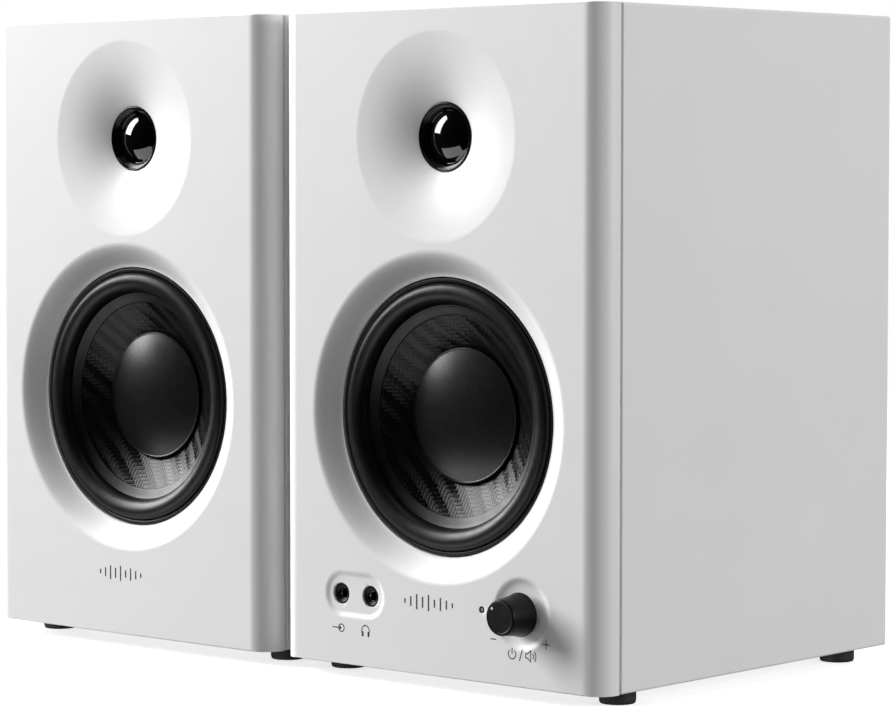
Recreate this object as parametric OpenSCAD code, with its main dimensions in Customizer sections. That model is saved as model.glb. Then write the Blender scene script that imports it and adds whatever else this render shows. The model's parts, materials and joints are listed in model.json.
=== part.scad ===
// Pair of desktop speakers: an active one at +X and a passive one at -X.
// Origin: middle of the pair on the surface it stands on. The baffles face -Y.
// Each speaker is drawn in its own box frame, with x = 0 on its centre plane,
// y = 0 on the baffle's front face and z = 0 on the floor.

/* [Cabinet] */
// Width of one cabinet
cab_w = 140; // [136:1:160]
// Height of one cabinet without its feet
cab_h = 218; // [214:1:240]
// Depth from the baffle's front face to the cabinet's rear edge
cab_d = 158; // [156:1:190]
// Thickness of the cabinet's panels
wall = 9; // [8:0.5:10]
// Radius of the baffle's vertical front edges
edge_r = 8; // [4:0.5:9]
// Free space between the two cabinets
pair_gap = 7; // [4:1:60]

/* [Feet] */
// Height of a rubber foot
foot_h = 5; // [3:0.5:8]
// Radius of a rubber foot
foot_r = 6; // [5:0.5:8]
// Distance from a cabinet's side to the middle of a foot
foot_inset = 11; // [9:1:20]

/* [Baffle] */
// Thickness of the baffle's visible part
baffle_t = 9.2; // [9:0.1:9.4]
// Width of the groove between the baffle and the cabinet
groove_w = 1; // [0.8:0.1:1.2]
// Depth of the groove between the baffle and the cabinet
groove_depth = 1.2; // [0.8:0.1:1.5]
// Height of the woofer's axis above the cabinet's bottom
woofer_up = 84.7; // [84:0.1:86]
// Height of the tweeter's axis above the cabinet's bottom
tweeter_up = 176.2; // [176:0.1:178]
// Outer radius of the recess round the woofer
recess_r = 54.5; // [54:0.1:55]
// Outer radius of the dish round the tweeter
dish_r = 34.3; // [33:0.1:35]
// Depth of the tweeter dish at its throat
dish_depth = 5.2; // [4.5:0.1:5.5]

/* [Controls] */
// Height of the row of front controls above the cabinet's bottom
controls_up = 23.7; // [23:0.1:24]
// Place of the line input jack, left of the middle
aux_x = -42.2; // [-43:0.1:-42]
// Place of the headphone jack
phones_x = -29; // [-30:0.1:-28.5]
// Place of the power light
led_x = 20.4; // [19:0.1:22]
// Place of the volume knob
knob_x = 37.3; // [36.5:0.1:38]
// How far the volume knob stands out of the baffle
knob_out = 10.9; // [9:0.1:12]
// Free space between the volume knob and the baffle
knob_gap = 0.8; // [0.7:0.1:1]
// Travel of the volume knob when it is pushed
push_travel = 0.5; // [0.3:0.1:0.5]

/* [Rear] */
// How far the rear board lies inside the cabinet's rear edge
rear_inset = 2; // [2:0.5:3]
// Height of the reflex port's axis above the cabinet's bottom
port_up = 176; // [172:1:178]
// Inner radius of the reflex port
port_r = 19; // [16:0.5:20]
// How far the rear knobs stand out of the amplifier plate
rear_knob_out = 11; // [8:0.5:13]

/* [Hidden] */
$fn = 96;
eps = 0.01;

woofer_z = foot_h + woofer_up;
tweeter_z = foot_h + tweeter_up;
controls_z = foot_h + controls_up;
port_z = foot_h + port_up;
cab_y = baffle_t + groove_w;
rear_y = cab_d - rear_inset;
plate_t = 2;
plate_y = rear_y + plate_t;
pitch = cab_w + pair_gap;
front_y = -(cab_d + rear_knob_out - knob_out) / 2;

// Woofer, as radii and depths behind the baffle's front face
woofer_hole_r = 46;
basket_r = 52.5;
seat_y = 8.4;
surround_r = 45.6;
surround_y = 5.6;
roll_r = 40.4;
cone_r = 36.4;
cone_y = 9.4;
cap_r = 22.5;
cap_y = 16.2;
cone_neck_y = 21.4;
coil_r = 13;
spider_y = 27;
motor_y = 38;
excursion = 3; // how far the cone moves each way

// Depth of the volume shaft's inner end
shaft_end_y = 19;

// Tweeter, as radii and depths behind the baffle's front face
tweeter_r = 11.5;
dome_r = 8.6;
dome_y = 7.4;

// Rear connectors of the active speaker, as x and height above the floor
tone_z = foot_h + 124;
tone_x = 22;
line_z = foot_h + 98;
rca_x = -28;
rca_pitch = 15;
balanced_x = 9;
balanced_pitch = 20;
terminal_x = -20;
terminal_z = foot_h + 62;
inlet_x = 24;
inlet_z = foot_h + 44;
cup_z = foot_h + 60;
lever_pitch = 15;

module active() { translate([pitch / 2, front_y, 0]) children(); }

module passive() { translate([-pitch / 2, front_y, 0]) children(); }

// Turns a shape drawn along +Z so that its height runs back into the box
module facing(x, z) { translate([x, 0, z]) rotate([-90, 0, 0]) children(); }

// A block given by its middle in x and z, its size in x and z, and its front and back in y
module block(x, z, w, h, y0, y1) { translate([x - w / 2, y0, z - h / 2]) cube([w, y1 - y0, h]); }

// A disc or a tube along y, from y0 to y1
module disc(x, z, r, y0, y1, hole = 0) {
  facing(x, z) translate([0, 0, y0]) difference() {
    cylinder(r = r, h = y1 - y0);
    if (hole > 0) translate([0, 0, -1]) cylinder(r = hole, h = y1 - y0 + 2);
  }
}

// ---------------------------------------------------------------- cabinet

module cabinet() {
  color("white") difference() {
    block(0, foot_h + cab_h / 2, cab_w, cab_h, cab_y, cab_d);
    block(0, foot_h + cab_h / 2, cab_w - 2 * wall, cab_h - 2 * wall, cab_y - 1, cab_d + 1);
  }
}

module port_hole() { disc(0, port_z, port_r + 2.2, rear_y - wall - 1, rear_y + 1); }

module rear_slab() { block(0, foot_h + cab_h / 2, cab_w - 2 * wall, cab_h - 2 * wall, rear_y - wall, rear_y); }

module active_rear_board() {
  color("dimgray") difference() {
    rear_slab();
    port_hole();
    block(0, foot_h + 82, 76, 104, rear_y - wall - 1, rear_y + 1);
  }
}

module passive_rear_board() {
  color("dimgray") difference() {
    rear_slab();
    port_hole();
    block(0, cup_z, 44, 34, rear_y - wall - 1, rear_y + 1);
  }
}

module port_tube() {
  length = 70;
  lip_r = port_r + 7;
  pipe_r = port_r + 2.1;
  flare = [[port_r, -3], [port_r + 0.4, -1.2], [port_r + 1.6, 0.2], [port_r + 3.4, 1], [port_r + 6, 1.2]];
  color("black") facing(0, port_z) translate([0, 0, rear_y]) rotate_extrude() polygon(concat(
    [[port_r, -length]], flare, [[lip_r, 0.8], [lip_r, 0], [pipe_r, 0], [pipe_r, -length]]));
}

module feet() {
  color("black") for (sx = [-1, 1], y = [22, cab_d - 14]) {
    translate([sx * (cab_w / 2 - foot_inset), y, 0]) {
      cylinder(r1 = foot_r - 0.5, r2 = foot_r, h = 1);
      translate([0, 0, 1]) cylinder(r = foot_r, h = foot_h - 1);
    }
  }
}

// Pan-head screw whose head rests on a face at depth y and points backwards
module screw(x, z, y) {
  difference() {
    disc(x, z, 3, y, y + 1.6);
    block(x, z, 3.4, 0.8, y + 0.8, y + 2);
    block(x, z, 0.8, 3.4, y + 0.8, y + 2);
  }
}

module active_screws() {
  color("black") {
    for (sx = [-1, 1], z = [27, 82, 137]) screw(sx * 41.5, foot_h + z, plate_y);
    port_screws();
  }
}

module passive_screws() {
  color("black") {
    for (sx = [-1, 1], sz = [-1, 1]) screw(sx * 26, cup_z + sz * 21, plate_y);
    port_screws();
  }
}

module port_screws() { for (sx = [-1, 1], sz = [-1, 1]) screw(sx * 22, port_z + sz * 22, rear_y); }

// ---------------------------------------------------------------- baffle

module baffle_outline() {
  intersection() {
    translate([-cab_w / 2, 0]) square([cab_w, baffle_t]);
    union() {
      translate([-cab_w / 2, edge_r]) square([cab_w, edge_r]);
      translate([-cab_w / 2 + edge_r, 0]) square([cab_w - 2 * edge_r, baffle_t]);
      for (sx = [-1, 1]) translate([sx * (cab_w / 2 - edge_r), edge_r]) circle(r = edge_r);
    }
  }
}

module baffle_shell() {
  inner_w = cab_w - 2 * wall - 0.4;
  inner_h = cab_h - 2 * wall - 0.4;
  translate([0, 0, foot_h]) linear_extrude(cab_h) baffle_outline();
  block(0, foot_h + cab_h / 2, cab_w - 2 * groove_depth, cab_h - 2 * groove_depth, baffle_t - 1, cab_y);
  block(0, foot_h + cab_h / 2, inner_w, inner_h, baffle_t - 1, 14);
}

// Depth of the tweeter dish, as a fraction, at a fraction of the way from its rim to its throat
function dish_curve(t) = pow(t, 2.2);

module dish_cut() {
  steps = 8;
  facing(0, tweeter_z) rotate_extrude() polygon(concat(
    [[0, -1], [dish_r, -1]],
    [for (i = [0:steps]) [dish_r + (tweeter_r - dish_r) * i / steps, dish_depth * dish_curve(i / steps)]],
    [[tweeter_r, 20], [0, 20]]));
}

module woofer_cut() {
  facing(0, woofer_z) rotate_extrude() polygon([
    [0, -1], [recess_r + 0.4, -1], [recess_r, 0], [53.3, 0.5], [50.6, 2.4], [48, 4.4], [46.8, 5.3], [woofer_hole_r, 5.7],
    [woofer_hole_r, seat_y], [basket_r + 0.3, seat_y], [basket_r + 0.3, 20], [0, 20]]);
}

module baffle() {
  difference() {
    baffle_shell();
    dish_cut();
    woofer_cut();
    block(0, tweeter_z, 34, 34, 11.4, 15);
  }
}

module jack_recess() {
  half = 5.6;
  for (sx = [-1, 1]) disc((aux_x + phones_x) / 2 + sx * half, controls_z, 7.6, -1, 1.4);
  block((aux_x + phones_x) / 2, controls_z, 2 * half, 15.2, -1, 1.4);
}

module active_baffle() {
  color("white") difference() {
    baffle();
    jack_recess();
    disc(aux_x, controls_z, 3.6, 0, 15);
    disc(phones_x, controls_z, 3.6, 0, 15);
    disc(led_x, controls_z, 1.1, -1, 15);
    facing(knob_x, controls_z) rotate_extrude() polygon([[0, -1], [12, -1], [12, 0], [9.4, 1], [8, 1.2], [0, 1.2]]);
    disc(knob_x, controls_z, 3.6, 0, 15);
  }
}

module passive_baffle() { color("white") baffle(); }

// ---------------------------------------------------------------- woofer

module woofer_basket() {
  color("dimgray") difference() {
    facing(0, woofer_z) rotate_extrude() polygon([
      [surround_r, 7.2], [surround_r, seat_y], [basket_r, seat_y], [basket_r, 10.4], [47, 10.4], [36, motor_y],
      [15, motor_y], [15, motor_y - 1.6], [34.6, motor_y - 1.6], [38, 29], [34, 29], [34, spider_y + 0.6],
      [38.6, spider_y + 0.6], [44.6, 12], [42.6, 10.4], [42.6, 7.2]]);
    for (a = [0:60:300]) facing(0, woofer_z) rotate([0, 0, a]) translate([30, -8, 13]) cube([30, 16, 13]);
    for (a = [45:90:315]) facing(0, woofer_z) rotate([0, 0, a]) translate([49.2, 0, 0]) cylinder(r = 1.8, h = 12);
  }
}

module woofer_plates() {
  color("silver") {
    disc(0, woofer_z, 33, motor_y, motor_y + 5, 14.2);
    disc(0, woofer_z, 33, motor_y + 18, motor_y + 23);
    disc(0, woofer_z, 12.2, motor_y, motor_y + 18 + eps);
  }
}

module woofer_magnet() { color("black") disc(0, woofer_z, 35, motor_y + 5, motor_y + 18, 18); }

// Corrugated disc with a flat rim on the basket's ledge
module woofer_spider() {
  rings = 4;
  cloth = 0.6;
  wave = 1.2;
  inner = coil_r + 0.2;
  step = (33.2 - inner) / (2 * rings);
  color("goldenrod") facing(0, woofer_z) rotate_extrude() polygon(concat(
    [for (i = [0:2 * rings]) [inner + i * step, spider_y - (i % 2) * wave]],
    [[37.8, spider_y], [37.8, spider_y + cloth]],
    [for (i = [2 * rings:-1:0]) [inner + i * step, spider_y + cloth - (i % 2) * wave]]));
}

module woofer_surround() {
  thick = 0.8;
  roll = 3.7;
  color("black") facing(0, woofer_z) rotate_extrude() polygon(concat(
    [[surround_r, 7.2], [surround_r, surround_y]],
    [for (a = [0:15:180]) [roll_r + roll * cos(a), 6.4 + a / 180 * 2 - roll * 0.9 * sin(a)]],
    [[cone_r, cone_y - 0.8], [33.4, cone_y + 0.4], [33.4, cone_y + 1], [cone_r, cone_y]],
    [for (a = [180:-15:0]) [roll_r + (roll - thick) * cos(a), 7.2 + a / 180 * 2 - (roll - thick) * 0.9 * sin(a)]],
    [[44.2, 7.2]]));
}

module woofer_cone() {
  skin = 0.7;
  color("black") facing(0, woofer_z) rotate_extrude() polygon([
    [cone_r, cone_y], [33.4, cone_y + 1], [cap_r, cap_y], [coil_r + 0.2, cone_neck_y],
    [coil_r + 0.2, cone_neck_y + skin], [cap_r, cap_y + skin], [33.4, cone_y + 1 + skin], [cone_r, cone_y + skin]]);
}

module woofer_coil() {
  color("orange") {
    disc(0, woofer_z, coil_r + 0.2, cone_neck_y, motor_y + 5 + excursion - 1, coil_r - 0.2);
    disc(0, woofer_z, coil_r + 0.8, motor_y + 1 - excursion, motor_y + 5 + excursion - 1, coil_r + 0.2);
  }
}

module dust_cap() {
  rise = 5;
  skin = 0.6;
  color("black") facing(0, woofer_z) rotate_extrude() polygon(concat(
    [for (a = [0:10:90]) [cap_r * cos(a), cap_y - rise * sin(a)]],
    [for (a = [90:-10:0]) [(cap_r - skin) * cos(a), cap_y - (rise - skin) * sin(a)]]));
}

// ---------------------------------------------------------------- tweeter

module tweeter_ring() {
  color("black") facing(0, tweeter_z) rotate_extrude() polygon([
    [tweeter_r - 0.1, 5], [tweeter_r - 0.7, 4.7], [tweeter_r - 1.2, 5.3], [10.1, 6], [9.6, 6.3], [dome_r + 0.6, 7.3],
    [dome_r + 0.6, 13], [16.5, 13], [16.5, 11.4], [tweeter_r - 0.1, 11.4]]);
}

// Dome with its short coil former behind it
module tweeter_dome() {
  rise = 3.2;
  former_r = 7.4;
  skin = 0.4;
  color("black") facing(0, tweeter_z) rotate_extrude() polygon(concat(
    [for (a = [90:-10:0]) [dome_r * cos(a), dome_y - rise * sin(a)]],
    [[dome_r, dome_y + skin], [former_r, dome_y + skin], [former_r, 15], [former_r - skin, 15]],
    [for (a = [40:10:90]) [(dome_r - skin) * cos(a), dome_y + skin / 2 - (rise - skin / 2) * sin(a)]]));
}

module tweeter_motor() {
  color("black") {
    disc(0, tweeter_z, 16, 16.6, 30);
    disc(0, tweeter_z, 16, 13, 16.6, 7.9);
    disc(0, tweeter_z, 6.6, 13, 16.7);
  }
}

// ---------------------------------------------------------------- front controls

module volume_knob() {
  color("black") facing(knob_x, controls_z) difference() {
    rotate_extrude() polygon([
      [0, -knob_out], [5.3, -knob_out], [5.7, -knob_out + 0.2], [5.9, -knob_out + 0.7], [6.4, -4], [7.1, -1.6],
      [7.2, -knob_gap], [0, -knob_gap]]);
    translate([0, 0, -knob_out + 2]) cylinder(r = 3, h = knob_out);
    rotate([0, 0, 220]) translate([4.3, 0, -knob_out - 1]) cylinder(r = 0.5, h = 1.3);
  }
}

module volume_shaft() { color("silver") disc(knob_x, controls_z, 2.96, -knob_out + 2.1, shaft_end_y); }

module volume_plunger() {
  color("white") {
    disc(knob_x, controls_z, 2.9, shaft_end_y + 0.05, 22);
    disc(knob_x, controls_z, 1.5, 22, 23.2);
  }
}

// Bushing and can, bored for the shaft, with room behind the plunger for its travel
module volume_encoder() {
  color("silver") difference() {
    union() {
      disc(knob_x, controls_z, 3.5, 5, 15);
      block(knob_x, controls_z, 12, 13, 14.2, 22 + push_travel + 0.3);
    }
    disc(knob_x, controls_z, 3.03, 4, 22 + push_travel + 0.1);
    disc(knob_x, controls_z, 1.7, 22, 24);
  }
}

module control_board() { color("green") block(-2, controls_z - 1, 104, 18, 24, 25.6); }

module mini_jack(x) {
  color("black") difference() {
    union() {
      disc(x, controls_z, 3.5, 1.2, 15);
      block(x, controls_z, 9, 12, 14.2, 24);
    }
    disc(x, controls_z, 1.8, 0, 17);
  }
}

module power_led() {
  color("whitesmoke") {
    disc(led_x, controls_z, 1, 0.1, 16);
    disc(led_x, controls_z, 2, 16, 24);
  }
}

// ---------------------------------------------------------------- amplifier

module amp_plate() {
  color("dimgray") difference() {
    block(0, foot_h + 82, 90, 120, rear_y, plate_y);
    for (sx = [-1, 1]) disc(sx * tone_x, tone_z, 3.6, rear_y - 1, plate_y + 1);
    for (i = [0, 1]) disc(rca_x + i * rca_pitch, line_z, 4.6, rear_y - 1, plate_y + 1);
    for (i = [0, 1]) disc(balanced_x + i * balanced_pitch, line_z, 5.1, rear_y - 1, plate_y + 1);
    block(terminal_x, terminal_z, 34, 24, rear_y - 1, plate_y + 1);
    block(inlet_x, inlet_z, 18, 12, rear_y - 1, plate_y + 1);
  }
}

module amp_board() { color("green") block(0, foot_h + 90, 72, 96, 130, 131.6); }

module heat_sink() {
  color("silver") {
    block(-20, foot_h + 110, 26, 40, 126.4, 129);
    for (i = [0:4]) block(-31 + i * 5.5, foot_h + 110, 1.6, 40, 112, 126.4);
  }
}

module mains_transformer() {
  color("goldenrod") {
    block(0, foot_h + wall + 18, 44, 36, 86, 98);
    block(0, foot_h + wall + 18, 30, 24, 78, 86);
    block(0, foot_h + wall + 18, 30, 24, 98, 106);
  }
}

module power_inlet() {
  color("black") {
    difference() {
      block(inlet_x, inlet_z, 17.6, 11.6, 140, plate_y + 1);
      for (sx = [-1, 1]) disc(inlet_x + sx * 3.9, inlet_z, 4, 146, plate_y + 2);
      block(inlet_x, inlet_z, 7.8, 6.4, 146, plate_y + 2);
    }
    for (sx = [-1, 1]) disc(inlet_x + sx * 4.3, inlet_z, 1.2, 145.9, plate_y - 2);
  }
}

module rca_jacks() {
  color("silver") for (i = [0, 1]) difference() {
    union() {
      disc(rca_x + i * rca_pitch, line_z, 4.5, 150, plate_y);
      disc(rca_x + i * rca_pitch, line_z, 6.2, plate_y, plate_y + 1.2);
      disc(rca_x + i * rca_pitch, line_z, 4.15, plate_y, plate_y + 9);
      block(rca_x + i * rca_pitch, line_z, 10, 12, 131.6, 150);
    }
    disc(rca_x + i * rca_pitch, line_z, 1.7, plate_y - 6, plate_y + 10);
  }
}

module balanced_jacks() {
  color("black") for (i = [0, 1]) difference() {
    union() {
      disc(balanced_x + i * balanced_pitch, line_z, 5, 150, plate_y);
      disc(balanced_x + i * balanced_pitch, line_z, 7.6, plate_y, plate_y + 2);
      disc(balanced_x + i * balanced_pitch, line_z, 6, plate_y, plate_y + 3);
      block(balanced_x + i * balanced_pitch, line_z, 16, 18, 131.6, 150);
    }
    disc(balanced_x + i * balanced_pitch, line_z, 3.2, plate_y - 24, plate_y + 4);
  }
}

// Knob with its own spindle; a notch marks where it points
module tone_knob(x) {
  color("black") difference() {
    union() {
      disc(x, tone_z, 6, plate_y + 0.6, cab_d + rear_knob_out - 0.6);
      disc(x, tone_z, 5.5, plate_y + 1, cab_d + rear_knob_out);
      disc(x, tone_z, 2.97, 138, plate_y + 2);
    }
    block(x, tone_z + 4.2, 0.9, 3, cab_d + rear_knob_out - 0.5, cab_d + rear_knob_out + 1);
    for (a = [15:30:345]) facing(x, tone_z) rotate([0, 0, a]) translate([6.3, 0, 100]) cylinder(r = 0.6, h = 80);
  }
}

module tone_pots() {
  color("silver") for (sx = [-1, 1]) difference() {
    union() {
      block(sx * tone_x, tone_z, 10, 12, 131.6, 150);
      disc(sx * tone_x, tone_z, 3.5, 150, plate_y);
    }
    disc(sx * tone_x, tone_z, 3.03, 137, plate_y + 1);
  }
}

// ---------------------------------------------------------------- spring terminals

// Housing with one pocket and one wire hole for each lever
module terminals(x, z) {
  color("black") difference() {
    union() {
      block(x, z, 33, 23, plate_y - 18, plate_y + 0.5);
      block(x, z, 36, 27, plate_y, plate_y + 4);
    }
    for (sx = [-1, 1]) {
      block(x + sx * lever_pitch / 2, z + 3.4, 12.8, 14, plate_y - 6, plate_y + 5);
      disc(x + sx * lever_pitch / 2, z - 8, 1.5, plate_y - 10, plate_y + 5);
    }
    translate([x - 16, plate_y - 2, z + 4]) rotate([0, 90, 0]) cylinder(r = 1.55, h = 32);
  }
}

// Lever on its own pin, which runs along x; the bar stands out and slopes up
module lever(x, z, colour) {
  bar_w = 12;
  bar_length = 10;
  bar_t = 4.2;
  root_r = 2.8;
  pin_r = 1.5;
  pin_length = 14.4;
  slope = 14;
  color(colour) translate([x, plate_y - 2, z + 4]) rotate([90, 0, 90]) {
    translate([0, 0, -bar_w / 2]) linear_extrude(bar_w) {
      circle(r = root_r);
      rotate(slope) translate([0, -bar_t / 2]) square([bar_length, bar_t]);
    }
    translate([0, 0, -pin_length / 2]) cylinder(r = pin_r, h = pin_length);
  }
}

module passive_terminals() {
  color("black") {
    difference() {
      block(0, cup_z, 64, 54, rear_y, plate_y);
      block(0, cup_z, 33.2, 23.2, rear_y - 1, plate_y + 1);
    }
  }
  terminals(0, cup_z);
}

module crossover_board() {
  color("green") block(0, foot_h + wall + 4.8, 64, 1.6, 96, 134);
  color("goldenrod") disc(-16, foot_h + wall + 13.6, 8, 100, 114, 4);
  color("black") for (x = [6, 20]) disc(x, foot_h + wall + 10.6, 5, 104, 128);
  color("white") for (sx = [-1, 1], y = [99, 131]) translate([sx * 28, y, foot_h + wall]) cylinder(r = 2.5, h = 4);
}

// ---------------------------------------------------------------- nodes

active() cabinet();  // active_cabinet
active() active_rear_board();
active() active_baffle();
active() port_tube();  // active_port_tube
active() feet();  // active_feet
active() active_screws();
active() woofer_basket();  // active_woofer_basket
active() woofer_magnet();  // active_woofer_magnet
active() woofer_plates();  // active_woofer_plates
active() woofer_spider();  // active_woofer_spider
active() woofer_surround();  // active_woofer_surround
active() woofer_cone();  // active_woofer_cone
active() woofer_coil();  // active_woofer_coil
active() dust_cap();  // active_dust_cap
active() tweeter_ring();  // active_tweeter_ring
active() tweeter_dome();  // active_tweeter_dome
active() tweeter_motor();  // active_tweeter_motor
passive() cabinet();  // passive_cabinet
passive() passive_rear_board();
passive() passive_baffle();
passive() port_tube();  // passive_port_tube
passive() feet();  // passive_feet
passive() passive_screws();
passive() woofer_basket();  // passive_woofer_basket
passive() woofer_magnet();  // passive_woofer_magnet
passive() woofer_plates();  // passive_woofer_plates
passive() woofer_spider();  // passive_woofer_spider
passive() woofer_surround();  // passive_woofer_surround
passive() woofer_cone();  // passive_woofer_cone
passive() woofer_coil();  // passive_woofer_coil
passive() dust_cap();  // passive_dust_cap
passive() tweeter_ring();  // passive_tweeter_ring
passive() tweeter_dome();  // passive_tweeter_dome
passive() tweeter_motor();  // passive_tweeter_motor
active() volume_knob();
active() volume_shaft();
active() volume_plunger();
active() volume_encoder();
active() control_board();
active() mini_jack(aux_x);  // aux_jack
active() mini_jack(phones_x);  // headphone_jack
active() power_led();
active() amp_plate();
active() amp_board();
active() heat_sink();
active() mains_transformer();
active() power_inlet();
active() rca_jacks();
active() balanced_jacks();
active() tone_knob(-tone_x);  // treble_knob
active() tone_knob(tone_x);  // bass_knob
active() tone_pots();
active() terminals(terminal_x, terminal_z);  // active_terminals
active() lever(terminal_x - lever_pitch / 2, terminal_z, "red");  // active_red_lever
active() lever(terminal_x + lever_pitch / 2, terminal_z, "black");  // active_black_lever
passive() passive_terminals();
passive() lever(-lever_pitch / 2, cup_z, "red");  // passive_red_lever
passive() lever(lever_pitch / 2, cup_z, "black");  // passive_black_lever
passive() crossover_board();
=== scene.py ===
"""Looks of a pair of desktop speakers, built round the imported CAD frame.

Each speaker is drawn in its own frame, in millimetres: x from its centre plane,
y behind its front face and z above the floor. The passive speaker stands at -X.
"""

import json
import math

import bmesh
import bpy
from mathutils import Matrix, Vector


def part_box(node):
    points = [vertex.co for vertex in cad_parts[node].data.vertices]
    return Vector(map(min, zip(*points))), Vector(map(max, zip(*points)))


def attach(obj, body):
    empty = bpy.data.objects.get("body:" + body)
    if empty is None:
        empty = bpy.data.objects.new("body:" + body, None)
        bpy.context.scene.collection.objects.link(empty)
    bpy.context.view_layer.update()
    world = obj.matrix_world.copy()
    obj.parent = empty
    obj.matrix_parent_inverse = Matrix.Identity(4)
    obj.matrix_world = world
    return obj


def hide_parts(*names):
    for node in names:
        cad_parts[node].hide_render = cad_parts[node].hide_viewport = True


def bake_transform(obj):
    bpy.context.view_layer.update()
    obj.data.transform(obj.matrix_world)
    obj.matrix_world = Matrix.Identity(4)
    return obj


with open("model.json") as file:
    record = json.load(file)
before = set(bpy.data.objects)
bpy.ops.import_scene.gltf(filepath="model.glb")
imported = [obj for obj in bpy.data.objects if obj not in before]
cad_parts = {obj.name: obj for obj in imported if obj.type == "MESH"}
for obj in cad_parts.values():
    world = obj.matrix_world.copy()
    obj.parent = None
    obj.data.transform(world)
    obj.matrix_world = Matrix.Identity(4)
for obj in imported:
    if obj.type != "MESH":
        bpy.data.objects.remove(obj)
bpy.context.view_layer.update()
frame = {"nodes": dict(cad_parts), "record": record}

MM = 0.001
scene = bpy.context.scene


# ---- camera, floor and lights


def outward(azimuth, elevation):
    """Direction away from the pair, in degrees. Azimuth 0 is in front and 90 at the right."""
    a, e = math.radians(azimuth), math.radians(elevation)
    return Vector((math.sin(a) * math.cos(e), -math.cos(a) * math.cos(e), math.sin(e)))


def placed(name, data, position=(0, 0, 0), view=None):
    """A new object in the scene, which looks along view if that is given."""
    made = bpy.data.objects.new(name, data)
    made.location = position
    if view is not None:
        made.rotation_mode = "QUATERNION"
        made.rotation_quaternion = view.to_track_quat("-Z", "Y")
    scene.collection.objects.link(made)
    return made


def add_camera():
    """A long lens, a little below the speakers' tops and to the right of their fronts."""
    data = bpy.data.cameras.new("camera")
    data.lens = 136.919
    data.sensor_width = 36
    data.clip_start = 0.01
    data.clip_end = 100
    position = (0.80773, -0.90425, 0.17486)
    scene.camera = placed("camera", data, position, -outward(41.448, 3.31))


def softbox(name, azimuth, elevation, distance, size, power):
    """A rectangular light that faces the middle of the pair."""
    target = Vector((0, 0, 0.11))
    away = outward(azimuth, elevation)
    data = bpy.data.lights.new(name, "AREA")
    data.shape = "RECTANGLE"
    data.size, data.size_y = size
    data.energy = power
    lamp = placed(name, data, target + away * distance, -away)
    lamp.visible_camera = False
    return lamp


def spare(light, objects):
    """Keeps one light off the objects."""
    shaded = bpy.data.collections.new(light.name + "_spares")
    for made in objects:
        shaded.objects.link(made)
    light.light_linking.receiver_collection = shaded
    for entry in shaded.collection_objects:
        entry.light_linking.link_state = "EXCLUDE"


def add_lights(cabinets):
    """A key light that grazes the fronts from the left, and lights of their own for the cabinets."""
    key = softbox("key_light", -70, 26, 2.4, (1.6, 1.5), 150)
    spare(key, cabinets)
    softbox("right_light", 105, 12, 2.4, (1.1, 1.1), 30)
    softbox("left_light", -108, 12, 2.4, (1.1, 1.1), 26)
    softbox("rear_light", 180, 10, 2.4, (1.4, 1.0), 18)
    softbox("top_light", 0, 90, 1.9, (1.2, 1.0), 10)
    low_card = softbox("low_card", -18, -35, 1.0, (1.2, 0.45), 5)
    low_card.visible_diffuse = False
    world = bpy.data.worlds.new("studio")
    world.use_nodes = True
    background = world.node_tree.nodes["Background"]
    background.inputs["Color"].default_value = (1, 1, 1, 1)
    background.inputs["Strength"].default_value = 0.21
    scene.world = world
    world.cycles_visibility.glossy = False


# ---- materials


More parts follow.
